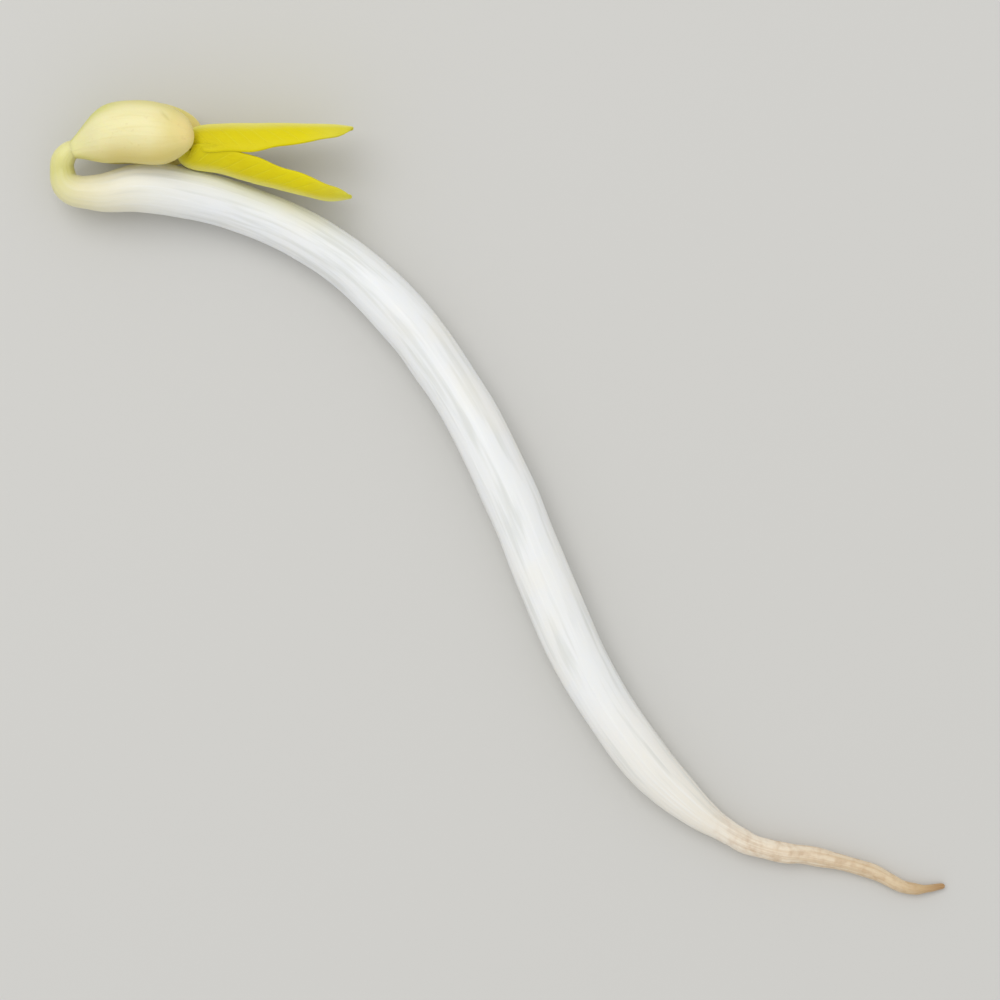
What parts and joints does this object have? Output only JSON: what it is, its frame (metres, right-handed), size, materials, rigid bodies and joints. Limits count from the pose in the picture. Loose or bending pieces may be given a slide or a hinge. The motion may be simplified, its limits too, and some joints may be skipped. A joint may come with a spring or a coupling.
{
  "type": "mung bean sprout",
  "caption": "Mung bean sprout lying flat: curved white stem with a hooked neck, cream bean cotyledons, cupped yellow first leaves and a thin root; produce or garnish prop.",
  "frame": {"origin": "middle of the sprout's footprint, on the surface it lies on", "axes": "+Z up from the surface; seen from above, +X to the right and +Y up, with the hooked head at the upper left and the root at the lower right"},
  "size_m": [0.0542, 0.0482, 0.006],
  "materials": {
    "stem": "satin",
    "cotyledon": "satin",
    "leaf": "satin"
  },
  "bodies": {
    "root": {"stem": "stem", "cotyledon_upper": "cotyledon", "cotyledon_lower": "cotyledon", "plumule": "leaf"}
  },
  "joints": []
}
